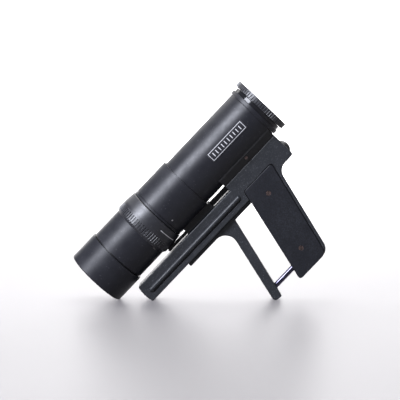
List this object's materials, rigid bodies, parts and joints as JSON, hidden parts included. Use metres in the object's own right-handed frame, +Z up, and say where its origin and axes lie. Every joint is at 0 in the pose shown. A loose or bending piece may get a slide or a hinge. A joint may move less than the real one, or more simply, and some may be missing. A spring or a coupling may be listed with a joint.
{
  "type": "pistol-grip telephoto lens",
  "caption": "Rapid-focus telephoto camera lens on a pistol grip: squeezing the finger lever slides the front barrel back along a rail to focus.",
  "frame": {"origin": "on the surface it stands on, at the bottom centre of its bounding box", "axes": "+Z up from the surface it stands on; +X towards the camera end and the handle; +Y to the user's right when aiming. It stands on its hood rim, rail nose and lever tip, with the lens axis 46.6 degrees above the surface, front end down towards -X"},
  "size_m": [0.2697, 0.0692, 0.2342],
  "materials": {
    "crinkle_paint": "cast aluminium with black crinkle lacquer",
    "satin_black": "black anodised aluminium, satin",
    "matt_black": "dull black anodised aluminium",
    "gloss_black": "polished black enamel",
    "scale_plastic": "fine-grained moulded plastic",
    "button_plastic": "moulded black plastic",
    "plate_black": "black enamel with a thin pale border",
    "screw_copper": "coppered steel, dulled",
    "brass": "turned brass",
    "chrome": "bright chrome",
    "steel": "bright steel",
    "iris_steel": "blued spring steel",
    "coated_glass": "coated optical glass",
    "felt": "black felt",
    "slide_plastic": "low-friction plastic"
  },
  "bodies": {
    "grip": {"grip_frame": "crinkle_paint", "left_grip_scale": "scale_plastic", "right_grip_scale": "scale_plastic", "scale_screws": "screw_copper", "barrel_saddle": "matt_black", "saddle_screws": "screw_copper", "rear_tube": "satin_black", "rear_lip_ring": "satin_black", "camera_neck": "gloss_black", "tube_baffles": "matt_black", "name_plate": "plate_black", "focus_spring": "steel", "release_spring": "steel", "rod_bush": "brass", "tripod_bush": "brass", "cable_socket": "brass"},
    "focusing_slide": {"focus_tube": "satin_black", "lens_barrel": "satin_black", "barrel_set_screws": "steel", "tube_guide_ring": "slide_plastic", "hood_felt_ring": "felt", "front_element": "coated_glass", "flint_element": "coated_glass", "element_spacer": "matt_black", "rear_element": "coated_glass", "front_retaining_ring": "matt_black", "iris_plate": "iris_steel", "carriage_block": "matt_black", "guide_bar": "matt_black", "slide_block": "matt_black", "trigger_lever": "crinkle_paint", "slide_screws": "steel", "guide_rod": "chrome"},
    "aperture_ring": {"aperture_ring": "satin_black"},
    "lens_hood": {"lens_hood": "satin_black"},
    "camera_ring": {"camera_ring": "satin_black"},
    "release_button": {"release_button": "button_plastic"},
    "release_pin": {"release_pin": "steel"},
    "iris_blade_1": {"iris_blade_1": "iris_steel"},
    "iris_blade_2": {"iris_blade_2": "iris_steel"},
    "iris_blade_3": {"iris_blade_3": "iris_steel"},
    "iris_blade_4": {"iris_blade_4": "iris_steel"},
    "iris_blade_5": {"iris_blade_5": "iris_steel"},
    "iris_blade_6": {"iris_blade_6": "iris_steel"},
    "iris_blade_7": {"iris_blade_7": "iris_steel"},
    "iris_blade_8": {"iris_blade_8": "iris_steel"}
  },
  "joints": [
    {"name": "focus_squeeze", "type": "slide", "parent": "grip", "child": "focusing_slide", "axis": [0.6871, 0, 0.7266], "range_m": [0, 0.024], "stiffness_N_per_m": 500, "springref_m": -0.024, "deforming": ["focus_spring"]},
    {"name": "hood_slide", "type": "slide", "parent": "focusing_slide", "child": "lens_hood", "axis": [0.6871, 0, 0.7266], "range_m": [0, 0.02]},
    {"name": "aperture_turn", "type": "hinge", "parent": "focusing_slide", "child": "aperture_ring", "pos_m": [-0.05406, 0, 0.08275], "axis": [0.6871, 0, 0.7266], "range_deg": [0, 110]},
    {"name": "camera_ring_turn", "type": "hinge", "parent": "grip", "child": "camera_ring", "pos_m": [0.06481, 0, 0.20844], "axis": [0.6871, 0, 0.7266], "range_deg": [-90, 90]},
    {"name": "release_press", "type": "slide", "parent": "grip", "child": "release_button", "axis": [-0.6871, 0, -0.7266], "range_m": [0, 0.0025], "stiffness_N_per_m": 600, "springref_m": -0.0015, "deforming": ["release_spring"]},
    {"name": "release_pin_slide", "type": "slide", "parent": "grip", "child": "release_pin", "axis": [0, 1, 0], "range_m": [0, 0.0025]},
    {"name": "iris_blade_1_swing", "type": "hinge", "parent": "focusing_slide", "child": "iris_blade_1", "pos_m": [-0.05818, 0.0259, 0.07839], "axis": [0.6871, 0, 0.7266], "range_deg": [0, 42]},
    {"name": "iris_blade_2_swing", "type": "hinge", "parent": "focusing_slide", "child": "iris_blade_2", "pos_m": [-0.07149, 0.01831, 0.09097], "axis": [0.6871, 0, 0.7266], "range_deg": [0, 42]},
    {"name": "iris_blade_3_swing", "type": "hinge", "parent": "focusing_slide", "child": "iris_blade_3", "pos_m": [-0.077, 0, 0.09618], "axis": [0.6871, 0, 0.7266], "range_deg": [0, 42]},
    {"name": "iris_blade_4_swing", "type": "hinge", "parent": "focusing_slide", "child": "iris_blade_4", "pos_m": [-0.07149, -0.01831, 0.09097], "axis": [0.6871, 0, 0.7266], "range_deg": [0, 42]},
    {"name": "iris_blade_5_swing", "type": "hinge", "parent": "focusing_slide", "child": "iris_blade_5", "pos_m": [-0.05818, -0.0259, 0.07839], "axis": [0.6871, 0, 0.7266], "range_deg": [0, 42]},
    {"name": "iris_blade_6_swing", "type": "hinge", "parent": "focusing_slide", "child": "iris_blade_6", "pos_m": [-0.04487, -0.01831, 0.0658], "axis": [0.6871, 0, 0.7266], "range_deg": [0, 42]},
    {"name": "iris_blade_7_swing", "type": "hinge", "parent": "focusing_slide", "child": "iris_blade_7", "pos_m": [-0.03936, 0, 0.06059], "axis": [0.6871, 0, 0.7266], "range_deg": [0, 42]},
    {"name": "iris_blade_8_swing", "type": "hinge", "parent": "focusing_slide", "child": "iris_blade_8", "pos_m": [-0.04487, 0.01831, 0.0658], "axis": [0.6871, 0, 0.7266], "range_deg": [0, 42]}
  ],
  "couplings": [
    {"joint": "release_pin_slide", "follows": "release_press", "ratio": 1},
    {"joint": "iris_blade_1_swing", "follows": "aperture_turn", "ratio": 0.38},
    {"joint": "iris_blade_2_swing", "follows": "aperture_turn", "ratio": 0.38},
    {"joint": "iris_blade_3_swing", "follows": "aperture_turn", "ratio": 0.38},
    {"joint": "iris_blade_4_swing", "follows": "aperture_turn", "ratio": 0.38},
    {"joint": "iris_blade_5_swing", "follows": "aperture_turn", "ratio": 0.38},
    {"joint": "iris_blade_6_swing", "follows": "aperture_turn", "ratio": 0.38},
    {"joint": "iris_blade_7_swing", "follows": "aperture_turn", "ratio": 0.38},
    {"joint": "iris_blade_8_swing", "follows": "aperture_turn", "ratio": 0.38}
  ]
}
